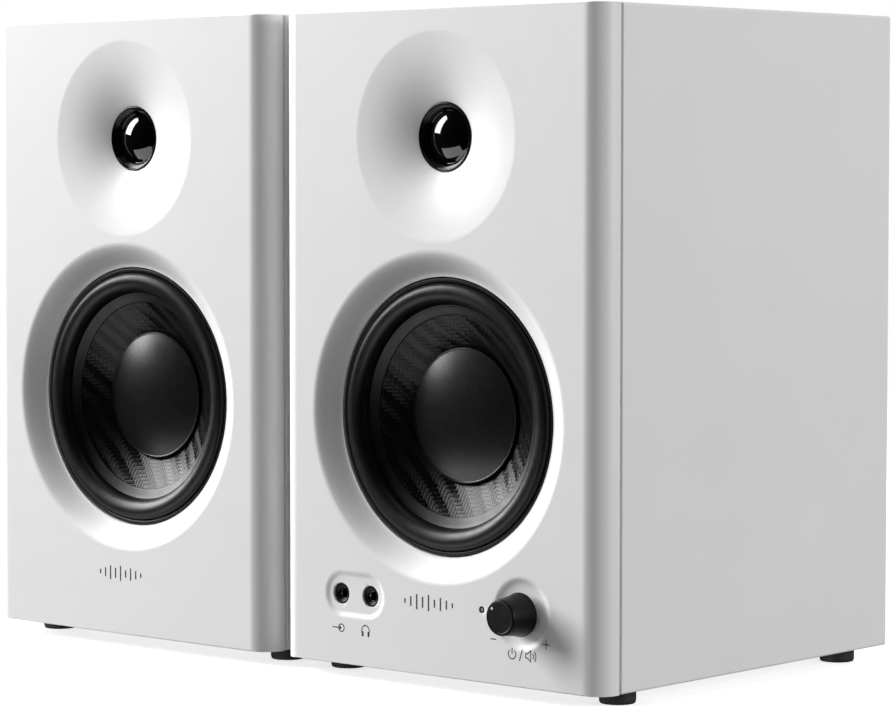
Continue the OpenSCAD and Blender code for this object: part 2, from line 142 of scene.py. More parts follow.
class Finish:
    """A principled material, with short calls for its procedural detail."""

    def __init__(self, name, colour, roughness, **sockets):
        self.material = bpy.data.materials.new(name)
        self.material.use_nodes = True
        self.tree = self.material.node_tree
        self.shader = self.tree.nodes["Principled BSDF"]
        self.set("Base Color", (*colour, 1))
        self.set("Roughness", roughness)
        for label, value in sockets.items():
            self.set(label.replace("_", " "), value)
        self.place = self.node("ShaderNodeTexCoord").outputs["Object"]

    def set(self, label, value):
        self.shader.inputs[label].default_value = value

    def node(self, kind, **settings):
        made = self.tree.nodes.new(kind)
        for key, value in settings.items():
            setattr(made, key, value)
        return made

    def link(self, source, target):
        self.tree.links.new(source, target)

    def noise(self, size, detail, stretch=(1, 1, 1)):
        """Noise whose features are about size millimetres, finer along an axis with a larger stretch."""
        mapping = self.node("ShaderNodeMapping")
        mapping.inputs["Scale"].default_value = stretch
        self.link(self.place, mapping.inputs["Vector"])
        noise = self.node("ShaderNodeTexNoise")
        noise.inputs["Scale"].default_value = 1 / (size * MM)
        noise.inputs["Detail"].default_value = detail
        self.link(mapping.outputs["Vector"], noise.inputs["Vector"])
        return noise.outputs["Fac"]

    def pebbles(self, size):
        """Rounded cells about size millimetres across."""
        cells = self.node("ShaderNodeTexVoronoi", feature="SMOOTH_F1")
        cells.inputs["Scale"].default_value = 1 / (size * MM)
        self.link(self.place, cells.inputs["Vector"])
        return cells.outputs["Distance"]

    def math(self, operation, a, b=0.0):
        made = self.node("ShaderNodeMath", operation=operation)
        for socket, value in zip(made.inputs, (a, b)):
            if isinstance(value, (int, float)):
                socket.default_value = value
            else:
                self.link(value, socket)
        return made.outputs[0]

    def spread(self, factor, low, high, start=0.3, end=0.7):
        """Maps a factor from start..end to low..high."""
        made = self.node("ShaderNodeMapRange")
        made.inputs["From Min"].default_value = start
        made.inputs["From Max"].default_value = end
        made.inputs["To Min"].default_value = low
        made.inputs["To Max"].default_value = high
        self.link(factor, made.inputs["Value"])
        return made.outputs["Result"]

    def tint(self, factor, one, two):
        """Base colour between two, by factor."""
        made = self.node("ShaderNodeMix", data_type="RGBA")
        self.link(factor, made.inputs[0])
        made.inputs[6].default_value = (*one, 1)
        made.inputs[7].default_value = (*two, 1)
        self.link(made.outputs[2], self.shader.inputs["Base Color"])

    def mottle(self, size, one, two, detail=3):
        """Base colour in patches of two colours, about size millimetres across."""
        self.tint(self.spread(self.noise(size, detail), 0, 1), one, two)

    def uneven(self, size, low, high, stretch=(1, 1, 1)):
        """Roughness that wanders between about low and high."""
        self.link(self.spread(self.noise(size, 3, stretch), low, high), self.shader.inputs["Roughness"])

    def bump(self, height, depth, strength=1.0):
        """Adds a bump of depth millimetres to those already there."""
        made = self.node("ShaderNodeBump")
        made.inputs["Strength"].default_value = strength
        made.inputs["Distance"].default_value = depth * MM
        self.link(height, made.inputs["Height"])
        normal = self.shader.inputs["Normal"]
        if normal.is_linked:
            self.link(normal.links[0].from_socket, made.inputs["Normal"])
        self.link(made.outputs["Normal"], normal)


def grey(value):
    """A colour without hue."""
    return (value, value, value)


def moulded(name, colour, roughness, grain=0.35, depth=0.012, shade=0.12, **sockets):
    """Plastic, rubber or paint with a fine grain, a slight mottle and uneven gloss."""
    f = Finish(name, colour, roughness, **sockets)
    f.mottle(18, tuple(c * (1 - shade) for c in colour), colour)
    f.uneven(6, roughness * 0.88, min(1, roughness * 1.12))
    f.bump(f.noise(grain, 3), depth)
    return f.material


def white_paint():
    """Satin paint on the baffle, with a faint orange peel."""
    f = Finish("white_paint", grey(0.8), 0.42, Specular_IOR_Level=0.4)
    f.mottle(40, (0.795, 0.795, 0.797), grey(0.81), 2)
    f.uneven(9, 0.39, 0.46)
    f.bump(f.noise(2.2, 1), 0.004)
    f.bump(f.noise(0.3, 2), 0.0015)
    return f.material


def white_vinyl():
    """Vinyl wrap on the cabinet's panels, with a fine pebble grain."""
    f = Finish("white_vinyl", grey(0.78), 0.55, Specular_IOR_Level=0.35)
    f.mottle(60, (0.77, 0.77, 0.772), grey(0.79), 2)
    f.uneven(14, 0.5, 0.6)
    f.bump(f.pebbles(0.55), 0.006)
    f.bump(f.noise(0.2, 2), 0.003)
    return f.material


def woven_cone():
    """Glossy twill cloth laid flat on the cone: upright and crosswise tows swap in stepped blocks."""
    tow, thread, repeat, float_length = 1.25, 0.42, 6, 3
    f = Finish("woven_cone", grey(0.006), 0.24, Anisotropic=0.8, Specular_IOR_Level=0.12)
    split = f.node("ShaderNodeSeparateXYZ")
    f.link(f.place, split.inputs[0])
    wobble = f.spread(f.noise(2.5, 2), -0.15 * MM, 0.15 * MM)
    x = f.math("ADD", split.outputs["X"], wobble)
    z = f.math("ADD", split.outputs["Z"], wobble)
    column = f.math("DIVIDE", x, tow * MM)
    row = f.math("DIVIDE", z, tow * MM)

    def place_in_repeat(one, other):
        """How far along one tow a point is, when each tow is a step on from the one beside it."""
        steps = f.math("DIVIDE", f.math("ADD", one, f.math("FLOOR", other)), repeat)
        return f.math("MULTIPLY", f.math("FRACT", steps), repeat)

    def crowned(position, flatness):
        """Height across a tow or along a float, from 0 at its ends to 1 in its middle."""
        offset = f.math("ABSOLUTE", f.math("SUBTRACT", f.math("MULTIPLY", position, 2), 1))
        return f.math("SUBTRACT", 1, f.math("POWER", offset, flatness))

    def tow_height(across, along):
        """Height of a tow whose crown carries fine threads."""
        fine = f.math("PINGPONG", f.math("MULTIPLY", across, tow / thread), 0.5)
        crown = f.math("MULTIPLY", crowned(f.math("FRACT", across), 4), crowned(along, 3))
        return f.math("ADD", crown, f.math("MULTIPLY", fine, 0.3))

    up = place_in_repeat(row, column)
    sideways = place_in_repeat(column, row)
    upright = f.math("LESS_THAN", up, float_length)
    up_height = tow_height(column, f.math("DIVIDE", up, float_length))
    side_place = f.math("DIVIDE", f.math("SUBTRACT", sideways, float_length), repeat - float_length)
    height = f.node("ShaderNodeMix")
    f.link(upright, height.inputs[0])
    f.link(tow_height(row, side_place), height.inputs[2])
    f.link(up_height, height.inputs[3])
    # Upright tows are painted a little lighter than crosswise ones: painted light and shade for how each
    # direction of tow catches the light.
    f.tint(upright, grey(0.003), grey(0.007))
    lean = f.node("ShaderNodeMix", data_type="VECTOR")
    f.link(upright, lean.inputs[0])
    lean.inputs[4].default_value = (0, 0, 1)
    lean.inputs[5].default_value = (1, 0, 0)
    f.link(lean.outputs[1], f.shader.inputs["Tangent"])
    f.bump(height.outputs[0], 0.06, 0.7)
    return f.material


def dust_cap():
    """Pressed cap with a soft shine."""
    f = Finish("dust_cap", grey(0.006), 0.25, Specular_IOR_Level=0.32)
    f.mottle(8, grey(0.006), grey(0.008))
    f.uneven(3, 0.23, 0.27)
    f.bump(f.noise(0.25, 2), 0.004)
    return f.material


def rubber():
    """Surround: smooth butyl rubber, with a soft sheen and a very fine grain."""
    f = Finish("surround_rubber", grey(0.005), 0.38, Specular_IOR_Level=0.22)
    f.mottle(10, grey(0.004), grey(0.006))
    f.uneven(4, 0.35, 0.42)
    f.bump(f.noise(0.2, 2), 0.003)
    return f.material


def metal(name, colour, roughness, brush=(1, 1, 1)):
    """Metal whose grain is finer along the axes where brush is larger."""
    f = Finish(name, colour, roughness, Metallic=1.0)
    f.mottle(3, tuple(c * 0.8 for c in colour), colour)
    f.uneven(1.5, roughness * 0.75, min(1, roughness * 1.25), brush)
    f.bump(f.noise(0.3, 2, brush), 0.003)
    return f.material


def copper_wire():
    """Windings: fine turns across the coil's axis."""
    f = Finish("copper_coil", (0.55, 0.22, 0.08), 0.3, Metallic=0.9)
    bands = f.node("ShaderNodeTexWave", bands_direction="Y")
    bands.inputs["Scale"].default_value = 1500
    f.link(f.place, bands.inputs["Vector"])
    # The bands paint shade too: darker in the grooves between turns and lighter on their crowns, in step
    # with the bump.
    f.tint(bands.outputs["Fac"], (0.3, 0.11, 0.04), (0.6, 0.26, 0.1))
    f.bump(bands.outputs["Fac"], 0.03)
    return f.material


def spider_cloth():
    """Stiffened cloth of the woofer's spider."""
    f = Finish("spider_cloth", (0.45, 0.3, 0.12), 0.8, Sheen_Weight=0.3)
    f.mottle(0.5, (0.34, 0.22, 0.08), (0.5, 0.34, 0.15), 2)
    f.bump(f.noise(0.4, 2), 0.08)
    return f.material


def circuit_board():
    """Green board with lighter tracks."""
    f = Finish("circuit_board", (0.02, 0.16, 0.06), 0.35)
    tracks = f.spread(f.noise(4, 2, (1, 1, 0.2)), 0, 1, 0.48, 0.52)
    f.tint(tracks, (0.01, 0.1, 0.03), (0.03, 0.2, 0.08))
    f.bump(f.noise(2, 1, (1, 1, 0.2)), 0.02)
    return f.material


def floor_paint():
    """Pale floor whose edge fades out into the backdrop."""
    f = Finish("floor_paint", grey(0.86), 0.7, Specular_IOR_Level=0.1)
    f.mottle(300, grey(0.85), grey(0.87), 2)
    f.set("Emission Color", (1, 1, 1, 1))
    f.set("Emission Strength", 0.7)
    radius = f.node("ShaderNodeVectorMath", operation="LENGTH")
    f.link(f.place, radius.inputs[0])
    fade = f.spread(radius.outputs["Value"], 0, 1, 0.35, 1.3)
    clear = f.node("ShaderNodeBsdfTransparent")
    both = f.node("ShaderNodeMixShader")
    f.link(fade, both.inputs[0])
    f.link(f.shader.outputs[0], both.inputs[1])
    f.link(clear.outputs[0], both.inputs[2])
    f.link(both.outputs[0], f.tree.nodes["Material Output"].inputs["Surface"])
    return f.material


def backdrop_paint():
    """Even white glow."""
    material = bpy.data.materials.new("backdrop_paint")
    material.use_nodes = True
    tree = material.node_tree
    glow = tree.nodes.new("ShaderNodeEmission")
    glow.inputs["Strength"].default_value = 1.0
    tree.links.new(glow.outputs[0], tree.nodes["Material Output"].inputs["Surface"])
    return material


# Each finish, by the name of the slot or the kind of surface it is for.
PAINT = {
    "white_moulding": white_paint(),
    "white_vinyl": white_vinyl(),
    "woven_cone": woven_cone(),
    "dust_cap": dust_cap(),
    "surround_rubber": rubber(),
    "knob_plastic": moulded("knob_plastic", grey(0.005), 0.36, 0.25, 0.004, Specular_IOR_Level=0.18),
    "gloss_black": moulded("gloss_black", grey(0.004), 0.14, 4, 0.002, Specular_IOR_Level=0.35),
    "copper_coil": copper_wire(),
    "spider_cloth": spider_cloth(),
    "circuit_board": circuit_board(),
}
for name, *settings in (
        ("black_plastic", grey(0.011), 0.45),
        ("dome_black", grey(0.003), 0.05, 5, 0.002),
        ("black_board", grey(0.025), 0.6, 0.8, 0.03, 0.06),
        ("rubber_feet", grey(0.018), 0.7, 0.5, 0.03),
        ("powder_coat", grey(0.03), 0.55, 0.5, 0.03),
        ("black_steel", grey(0.03), 0.4, 0.6, 0.01),
        ("ferrite", (0.04, 0.04, 0.042), 0.65, 0.6, 0.03, 0.3),
        ("print_ink", (0.01, 0.01, 0.011), 0.5, 0.2, 0.002),
        ("white_ink", grey(0.7), 0.5, 0.2, 0.002),
        ("led_lens", (0.3, 0.3, 0.31), 0.2, 0.4, 0.004),
        ("white_plastic", (0.75, 0.75, 0.74), 0.4, 0.4, 0.006, 0.04),
        ("lever_red", (0.5, 0.02, 0.02), 0.4, 0.4, 0.008),
        ("lever_black", grey(0.03), 0.4, 0.4, 0.008),
        ("transformer_body", (0.35, 0.22, 0.05), 0.5, 1.0, 0.03)):
    PAINT[name] = moulded(name, *settings)
for name, *settings in (
        ("zinc_steel", (0.62, 0.62, 0.6), 0.35),
        ("plated_metal", (0.75, 0.73, 0.68), 0.22, (1, 0.1, 1)),
        ("aluminium_fins", (0.7, 0.71, 0.72), 0.4, (0.1, 1, 1))):
    PAINT[name] = metal(name, *settings)


# ---- mesh tools


def arc(centre, radius, start, end, steps):
    """Points on an arc, from start to end in degrees."""
    turns = [math.radians(start + (end - start) * i / steps) for i in range(steps + 1)]
    return [(centre[0] + radius * math.cos(a), centre[1] + radius * math.sin(a)) for a in turns]


def circle(x, z, radius, count):
    return arc((x, z), radius, 0, 360, count)[:-1]


def pill(x, z, half, radius, count=32):
    """Outline of two half circles, half apart on either side of x, and the lines between them."""
    return arc((x + half, z), radius, -90, 90, count) + arc((x - half, z), radius, 90, 270, count)


def rectangle(x, z, width, height, radius=0.0, count=6):
    """Outline of a rectangle, with its corners rounded if radius isn't 0."""
    w, h = width / 2 - radius, height / 2 - radius
    corners = [(x + w, z + h, 0), (x - w, z + h, 90), (x - w, z - h, 180), (x + w, z - h, 270)]
    if radius == 0:
        return [(a, b) for a, b, _ in corners]
    return [p for a, b, turn in corners for p in arc((a, b), radius, turn, turn + 90, count)]


def softened(points, radius, steps=4, closed=False):
    """The same line with its corners rounded by up to radius."""
    made = []
    count = len(points)
    for i, p in enumerate(points):
        if not closed and i in (0, count - 1):
            made.append(p)
            continue
        p, a, b = Vector(p), Vector(points[i - 1]), Vector(points[(i + 1) % count])
        start = p + (a - p).normalized() * min(radius, (a - p).length * 0.45)
        end = p + (b - p).normalized() * min(radius, (b - p).length * 0.45)
        for k in range(steps + 1):
            t = k / steps
            made.append(tuple(start * (1 - t) ** 2 + p * 2 * t * (1 - t) + end * t ** 2))
    return made


def shifted(outline, inwards):
    """A closed anticlockwise outline moved inwards by a distance."""
    made = []
    for i, p in enumerate(outline):
        a, b = Vector(outline[i - 1]), Vector(outline[(i + 1) % len(outline)])
        along = (b - a).normalized()
        made.append((p[0] - along.y * inwards, p[1] + along.x * inwards))
    return made


class Shell:
    """A mesh made of outlines in x and z, each at its own y, joined into walls and filled into faces."""

    def __init__(self):
        self.bm = bmesh.new()

    def wall(self, rows):
        """Joins (outline, y) rows into one wall and returns its first and last loop."""
        loops = [[self.bm.verts.new((x, y, z)) for x, z in outline] for outline, y in rows]
        for one, two in zip(loops, loops[1:]):
            for i in range(len(one)):
                j = (i + 1) % len(one)
                self.bm.faces.new((one[i], one[j], two[j], two[i]))
        return loops[0], loops[-1]

    def fill(self, *loops):
        """Fills the flat face between an outer loop and the holes in it."""
        edges = []
        for loop in loops:
            for a, b in zip(loop, loop[1:] + loop[:1]):
                edges.append(self.bm.edges.get((a, b)) or self.bm.edges.new((a, b)))
        bmesh.ops.triangle_fill(self.bm, use_beauty=True, edges=edges, normal=(0, -1, 0))


def rings(profile, x, z, count):
    """Rows of circles for a shell, from a profile of (radius, depth) points."""
    return [(circle(x, z, r, count), y) for r, y in profile]


def lathe(profile, x, z, segments, closed=False, radius_of=None):
    """A profile of (radius, depth) points turned about the line along y through x, z.
    radius_of(radius, turn) can change the radius round the turn, as for a fluted knob."""
    bm = bmesh.new()
    rows = []
    for radius, y in profile:
        if radius < 1e-6:
            rows.append([bm.verts.new((x, y, z))] * segments)
            continue
        row = []
        for i in range(segments):
            a = 2 * math.pi * i / segments
            r = radius_of(radius, a) if radius_of else radius
            row.append(bm.verts.new((x + r * math.cos(a), y, z + r * math.sin(a))))
        rows.append(row)
    if closed:
        rows.append(rows[0])
    for one, two in zip(rows, rows[1:]):
        for i in range(segments):
            j = (i + 1) % segments
            corners = []
            for v in (one[i], one[j], two[j], two[i]):
                if v not in corners:
                    corners.append(v)
            if len(corners) > 2:
                bm.faces.new(corners)
    return bm


def turned_ring(profile, soft, x, z, segments, radius_of=None):
    """A closed profile with softened corners, turned about the line along y through x, z."""
    return lathe(softened(profile, soft, 3, True), x, z, segments, closed=True, radius_of=radius_of)


def dome_profile(rim, base, rise, steps):
    """Half the section of a spherical cap, from its crown, rise in front of base, to its rim."""
    sphere = (rim ** 2 + rise ** 2) / (2 * rise)
    radii = [rim * i / steps for i in range(steps + 1)]
    return [(r, base - rise + sphere - math.sqrt(sphere ** 2 - r ** 2)) for r in radii]


def rounded_block(x, z, width, height, y0, y1, radius, segments=3):
    """A block with all its edges rounded."""
    bm = bmesh.new()
    bmesh.ops.create_cube(bm, size=1)
    for v in bm.verts:
        v.co = Vector((x + v.co.x * width, (y0 + y1) / 2 + v.co.y * (y1 - y0), z + v.co.z * height))
    bmesh.ops.bevel(bm, geom=bm.edges[:], offset=radius, segments=segments, profile=0.5, affect="EDGES")
    return bm


def ribbon(bm, points, width, closed=False):
    """Adds a flat stroke of that width along a line of (x, z) points."""
    points = [Vector(p) for p in points]
    count = len(points)
    sides = []
    for i, p in enumerate(points):
        a = points[i - 1] if closed or i > 0 else p
        b = points[(i + 1) % count] if closed or i < count - 1 else p
        before, after = p - a, b - p
        if not before.length:
            before = after
        if not after.length:
            after = before
        along = (before.normalized() + after.normalized()).normalized()
        normal = Vector((-along.y, along.x))
        stretch = 1 / max(0.5, along.dot(after.normalized()))
        sides.append([p + normal * width / 2 * stretch, p - normal * width / 2 * stretch])
    verts = [[bm.verts.new((s.x, 0, s.y)) for s in pair] for pair in sides]
    for i in range(count if closed else count - 1):
        one, two = verts[i], verts[(i + 1) % count]
        bm.faces.new((one[0], two[0], two[1], one[1]))


def patch(bm, outline):
    """Adds a flat filled outline."""
    bm.faces.new([bm.verts.new((x, 0, z)) for x, z in outline])


INK = 0.03  # thickness of a print
LINE = 0.36  # width of a line in the front's symbols


def raised(bm, y):
    """Gives flat strokes the thickness of ink on a surface at depth y."""
    made = bmesh.ops.extrude_face_region(bm, geom=bm.faces[:])
    for v in made["geom"]:
        if isinstance(v, bmesh.types.BMVert):
            v.co.y += INK
    for v in bm.verts:
        v.co.y += y - INK * 0.7
    return bm


class Speaker:
    """Places pieces in one speaker's own frame."""

    def __init__(self, name):
        low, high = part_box(name + "_baffle")
        self.name = name
        self.body = name + "_speaker"
        self.origin = Vector(((low.x + high.x) / 2, low.y, 0))
        self.width = (high.x - low.x) / MM
        self.bottom = low.z / MM
        self.height = (high.z - low.z) / MM
        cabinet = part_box(name + "_cabinet")
        self.cabinet_y = (cabinet[0].y - low.y) / MM
        self.rear_edge = (cabinet[1].y - low.y) / MM
        self.woofer_z = self.middle(name + "_woofer_cone")[1]
        self.tweeter_z = self.middle(name + "_tweeter_dome")[1]
        self.port_z = self.middle(name + "_port_tube")[1]

    def middle(self, node):
        """x and z of a CAD node's middle, in this speaker's frame."""
        low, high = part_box(node)
        return ((low.x + high.x) / 2 - self.origin.x) / MM, (low.z + high.z) / 2 / MM

    def depths(self, node):
        """How deep a CAD node starts and ends behind this speaker's front face."""
        low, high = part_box(node)
        return (low.y - self.origin.y) / MM, (high.y - self.origin.y) / MM

    def point(self, x, y, z):
        return self.origin + Vector((x, y, z)) * MM

    def mesh(self, name, bm, sharp=32):
        """Makes an object of a bmesh at this speaker's place, smooth but for edges over sharp degrees."""
        bmesh.ops.remove_doubles(bm, verts=bm.verts[:], dist=1e-5)
        bmesh.ops.recalc_face_normals(bm, faces=bm.faces[:])
        for v in bm.verts:
            v.co = self.point(*v.co)
        data = bpy.data.meshes.new(name)
        bm.to_mesh(data)
        bm.free()
        data.shade_smooth()
        data.set_sharp_from_angle(angle=math.radians(sharp))
        return placed(name, data)

    def add(self, name, bm, paint, slot=None, nodes=(), body=None, flat=False):
        """Makes a piece, paints it and lets it ride on a body. flat keeps the shading of its large faces
        even beside small ones."""
        made = self.mesh(name, bm)
        made.data.materials.append(PAINT[paint])
        if flat:
            evened = made.modifiers.new("even_shading", "WEIGHTED_NORMAL")
            evened.keep_sharp = True
            evened.weight = 80
        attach(made, body or self.body)
        if nodes:
            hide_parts(*nodes)
        return made


# ---- cabinet and baffle

BOARD_BACK = 14  # depth of the baffle's back face


def add_cabinet(s):
    """Wrapped box, open at the front and back, with slightly softened outer edges."""
    wall = 9
    middle_z = s.bottom + s.height / 2

    def outline(inset):
        corner = 0.8 - min(inset, 0.6)
        return rectangle(0, middle_z, s.width - 2 * inset, s.height - 2 * inset, corner, 4)

    front, rear = s.cabinet_y, s.rear_edge
    section = [(wall, front), (0.5, front), (0.2, front + 0.08), (0.04, front + 0.25), (0, front + 0.5),
               (0, rear - 0.6), (0.06, rear - 0.25), (0.25, rear - 0.07), (0.6, rear), (wall, rear),
               (wall, front)]
    shell = Shell()
    shell.wall([(outline(inset), y) for inset, y in section])
    return s.add(s.name + "_box", shell.bm, "white_vinyl", nodes=[s.name + "_cabinet"], flat=True)


def dish_rows(x, z):
    """Shallow flare round the tweeter: a slight break at its rim, steepest at its throat."""
    rim, throat, depth, steps = 34.3, 11.5, 5.2, 26
    seat_r, seat_y = 16.8, 11.4
    profile = [(rim + 0.5, 0), (rim, 0)]
    for i in range(1, steps + 1):
        t = i / steps
        profile.append((rim + (throat - rim) * t, depth * (0.4 * t + 0.6 * t ** 2.8)))
    profile += [(throat, seat_y), (seat_r, seat_y), (seat_r, BOARD_BACK)]
    return rings(profile, x, z, 128)


def spline(points, steps):
    """A smooth line through the points."""
    made = []
    ends = [points[0]] + list(points) + [points[-1]]
    for i in range(1, len(ends) - 2):
        a, b, c, d = (Vector(p) for p in ends[i - 1:i + 3])
        for k in range(steps):
            t = k / steps
            made.append(tuple(0.5 * (2 * b + (c - a) * t + (2 * a - 5 * b + 4 * c - d) * t ** 2
                                     + (3 * b - a - 3 * c + d) * t ** 3)))
    return made + [tuple(points[-1])]


def recess_rows(x, z):
    """Rounded step down to the woofer, with the seat for its flange behind it."""
    inner, flange, seat = 46, 52.8, 8.4
    step = [(54.8, 0), (53.6, 0.25), (51.8, 1.3), (49.6, 3.0), (47.9, 4.4), (46.8, 5.1), (inner, 5.3)]
    profile = [(55, 0)] + spline(step, 5) + [(inner, seat), (flange, seat), (flange, BOARD_BACK)]
    return rings(profile, x, z, 160)


def add_baffle(s, add_bores):
    """Front board with rounded upright edges and its flares. add_bores(shell) makes the walls of the
    other bores and returns, for each, its front loop and the loops it has at the board's back."""
    edge_r, crisp, visible, groove, rebate = 8, 0.6, 9.2, 1.2, 9.2
    middle_z = s.bottom + s.height / 2

    def outline(dx, dz):
        return rectangle(0, middle_z, s.width - 2 * dx, s.height - 2 * dz)

    rows = []
    steps = 20
    for i in range(steps + 1):
        turn = math.radians(90 * i / steps)
        y = edge_r * (1 - math.cos(turn))
        lift = crisp - math.sqrt(max(0, crisp ** 2 - max(0, crisp - y) ** 2))
        rows.append((outline(edge_r * (1 - math.sin(turn)), lift), y))
    side = [(0, visible - 0.25), (0.08, visible - 0.07), (0.25, visible), (groove, visible),
            (groove, s.cabinet_y), (rebate, s.cabinet_y), (rebate, BOARD_BACK)]
    rows += [(outline(inset, inset), y) for inset, y in side]
    shell = Shell()
    front, back = shell.wall(rows)
    holes = [shell.wall(dish_rows(0, s.tweeter_z)), shell.wall(recess_rows(0, s.woofer_z))]
    holes += add_bores(shell)
    shell.fill(front, *[hole[0] for hole in holes])
    shell.fill(back, *[loop for hole in holes for loop in hole[1:]])
    s.add(s.name + "_front_board", shell.bm, "white_moulding", nodes=[s.name + "_baffle"], flat=True)


def bore(shell, x, z, radius, y):
    """A bore with a softened rim, through to the baffle's back."""
    soft = 0.15
    profile = [(radius + soft, y), (radius + soft * 0.3, y + soft * 0.3), (radius, y + soft),
               (radius, BOARD_BACK)]
    return shell.wall(rings(profile, x, z, 48))


def active_bores(s):
    """Pill recess with two jack bores, the light's bore and the shallow dish round the knob."""
    jacks = [s.middle("aux_jack")[0], s.middle("headphone_jack")[0]]
    led_x, level = s.middle("power_led")
    knob_x = s.middle("volume_knob")[0]
    half_pill, hollow, jack_r, led_r, shaft_r = 5.6, 0.55, 3.6, 1.1, 3.6

    def add_bores(shell):
        edge = spline([(8.3, 0), (7.6, 0.06), (6.9, 0.28), (6.2, 0.5), (5.6, hollow)], 4)
        first, floor = shell.wall([(pill(sum(jacks) / 2, level, half_pill, r), y) for r, y in edge])
        bores = [bore(shell, x, level, jack_r, hollow) for x in jacks]
        shell.fill(floor, *[b[0] for b in bores])
        dish = spline([(12.6, 0), (11.6, 0.1), (9.8, 0.9), (8.2, 1.2)], 4)
        knob = shell.wall(rings(dish + [(shaft_r, 1.2), (shaft_r, BOARD_BACK)], knob_x, level, 64))
        return [(first, bores[0][1], bores[1][1]), bore(shell, led_x, level, led_r, 0), knob]

    return add_bores


def add_feet(s):
    """Four turned rubber feet with a shallow hollow under each."""
    low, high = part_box(s.name + "_feet")
    foot_r, foot_h, hollow_r = 6, (high.z - low.z) / MM, 4.4
    side = (high.x - low.x) / 2 / MM - foot_r
    front, rear = s.depths(s.name + "_feet")
    profile = softened([(0, 0.5), (hollow_r, 0.5), (hollow_r + 0.4, 0), (foot_r - 0.3, 0), (foot_r, 1),
                        (foot_r, foot_h), (0, foot_h)], 0.5)
    bm = bmesh.new()
    for x in (-side, side):
        for y in (front + foot_r, rear - foot_r):
            foot = lathe(profile, 0, 0, 64)
            for v in foot.verts:
                v.co = Vector((x + v.co.x, y + v.co.z, v.co.y))
            merge(bm, foot)
    s.add(s.name + "_foot_set", bm, "rubber_feet", nodes=[s.name + "_feet"])


def merge(bm, other):
    """Adds another bmesh's faces to bm."""
    copies = {v: bm.verts.new(v.co) for v in other.verts}
    for face in other.faces:
        bm.faces.new([copies[v] for v in face.verts])
    other.free()


# ---- woofer


def surround_profile():
    """Section of the rubber surround: half roll, flange glued to the cone, and lip on the basket."""
    thick, roll, middle, foot = 0.8, 3.7, 40.4, 6.4

    def half_roll(radius, base, turns):
        """Slightly flattened half circle that leans back towards the cone."""
        return [(middle + radius * math.cos(a), base + 2 * a / math.pi - radius * 0.9 * math.sin(a))
                for a in map(math.radians, turns)]

    outer = half_roll(roll, foot, range(8, 173, 6))
    inner = half_roll(roll - thick, foot + thick, range(172, 7, -6))
    flange = softened([(36.7, 8.45), (36.3, 8.65), (35.9, 8.9), (33.6, 9.9), (33.35, 10.1), (33.4, 10.45),
                       (36.4, 9.4)], 0.15, 3)
    lip = softened([(44.1, 6.3), (44.4, 5.7), (45.3, 5.6), (45.6, 5.9), (45.6, 7.2), (44.0, 7.2)], 0.3, 3)
    return outer + flange + inner + lip[::-1]


def add_surround(s):
    """The surround in sectors, each keeping the smooth normals of the whole ring."""
    sectors, per_sector = 32, 5
    section = surround_profile()
    whole = s.mesh(s.name + "_whole_surround",
                   lathe(section, 0, s.woofer_z, sectors * per_sector, closed=True), 50)
    data = whole.data
    normals = [tuple(n.vector) for n in data.corner_normals]
    centre = s.point(0, 0, s.woofer_z)
    share = 2 * math.pi / sectors
    for k in range(sectors):
        faces, corner_normals, used, points = [], [], {}, []
        for poly in data.polygons:
            turn = math.atan2(poly.center.z - centre.z, poly.center.x - centre.x) % (2 * math.pi)
            if int(turn / share) != k:
                continue
            face = []
            for corner in poly.loop_indices:
                v = data.loops[corner].vertex_index
                if v not in used:
                    used[v] = len(points)
                    points.append(tuple(data.vertices[v].co))
                face.append(used[v])
                corner_normals.append(normals[corner])
            faces.append(face)
        part = bpy.data.meshes.new("%s_surround_%02d" % (s.name, k))
        part.from_pydata(points, [], faces)
        part.shade_smooth()
        part.normals_split_custom_set(corner_normals)
        part.materials.append(PAINT["surround_rubber"])
        made = placed(part.name, part)
        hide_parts(s.name + "_woofer_surround")
        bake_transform(made)
    bpy.data.objects.remove(whole)
    bpy.data.meshes.remove(data)


def add_woofer(s):
    """Cone, dust cap and surround."""
    mover = s.name + "_woofer_mover"
    z = s.woofer_z
    cloth, cap = 0.6, 0.9
    cone = spline([(33.35, 10.35), (31, 11.45), (28, 12.95), (25, 14.6), (22.4, 16.25), (20.5, 17.4)], 4)
    back = [(r, y + cloth) for r, y in reversed(cone)]
    s.add(s.name + "_cone_cloth", lathe(cone + back, 0, z, 144, closed=True), "woven_cone",
          nodes=[s.name + "_woofer_cone"], body=mover)
    dome = dome_profile(21.8, 15.0, 2.5, 24)
    edge = arc((22.12, 15.15), 0.38, 200, 360, 8) + [(22.5, 16.6), (21.9, 16.6)]
    hollow = [(r, y + cap) for r, y in reversed(dome[:-1])]
    s.add(s.name + "_cap", lathe(dome + edge + hollow, 0, z, 144), "dust_cap",
          nodes=[s.name + "_dust_cap"], body=mover)
    add_surround(s)


# ---- tweeter


def add_tweeter(s):
    """Stepped gloss ring, and the dome with its small roll."""
    z = s.tweeter_z
    ring = [(11.4, 11.4), (11.4, 5.05), (11.05, 4.7), (10.75, 4.75), (10.45, 5.35), (10.2, 5.45),
            (10.05, 6.0), (9.75, 6.1), (9.55, 6.5), (9.2, 7.0), (9.15, 7.6), (9.15, 12.8), (16.4, 12.8),
            (16.4, 11.45)]
    s.add(s.name + "_tweeter_frame", turned_ring(ring, 0.12, 0, z, 128), "gloss_black",
          nodes=[s.name + "_tweeter_ring"])
    dome = dome_profile(8.6, 7.4, 3.2, 20)
    roll = arc((8.78, 7.42), 0.25, 220, 350, 4)
    hollow = [(8.9, 7.9), (7.4, 7.9), (7.4, 9)] + [(r * 0.8, y + 0.5) for r, y in reversed(dome)]
    s.add(s.name + "_dome", lathe(dome[:-1] + roll + hollow, 0, z, 96), "dome_black", "gloss_black",
          [s.name + "_tweeter_dome"], s.name + "_tweeter_mover")


# ---- front controls and marks


